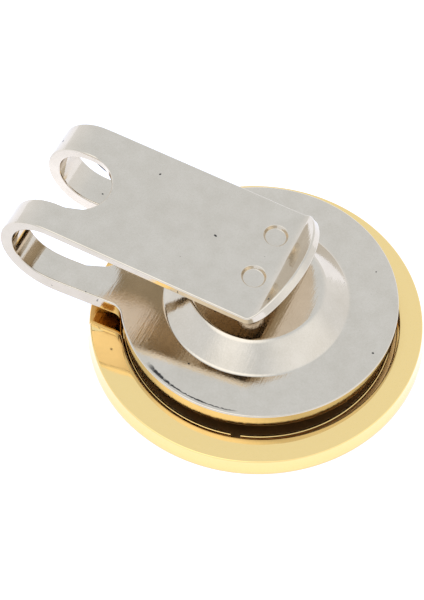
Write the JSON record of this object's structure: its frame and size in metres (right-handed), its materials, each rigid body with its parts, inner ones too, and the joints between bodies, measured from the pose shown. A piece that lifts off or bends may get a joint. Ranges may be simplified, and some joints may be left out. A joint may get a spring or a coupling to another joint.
{
  "type": "hat clip ball marker",
  "caption": "Golf hat clip: a bent spring sheet with a disc, looped prongs and a tongue, holding a round gold ball marker by a magnet.",
  "frame": {"origin": "centre of the marker's front face, which lies on the table", "axes": "+Z from the marker up through the clip, +X along the tongue towards its tip, the neck and the loop on the -X side"},
  "size_m": [0.0381, 0.0308, 0.0118],
  "materials": {
    "gold_plate": "polished gold plating",
    "nickel_plate": "satin nickel plating with a fine brushed grain",
    "insert_steel": "plain rolled",
    "magnet_plate": "nickel plated",
    "glue": "cured epoxy",
    "inlay": "flush polished enamel"
  },
  "bodies": {
    "marker": {"marker_bezel": "gold_plate", "front_inlay": "inlay", "steel_insert": "insert_steel", "split_retaining_ring": "gold_plate"},
    "clip": {"clip_base": "nickel_plate", "clip_magnet": "magnet_plate", "magnet_glue": "glue"},
    "tongue": {"clip_tongue": "nickel_plate"}
  },
  "joints": [
    {"name": "marker_release", "type": "slide", "parent": "marker", "child": "clip", "axis": [0, 0, 1], "range_m": [0, 0.012]},
    {"name": "tongue_flex", "type": "hinge", "parent": "clip", "child": "tongue", "pos_m": [-0.0221, 0.00042, 0.00752], "axis": [0, -1, 0], "range_deg": [0, 8], "stiffness_Nm_per_rad": 0.05}
  ]
}
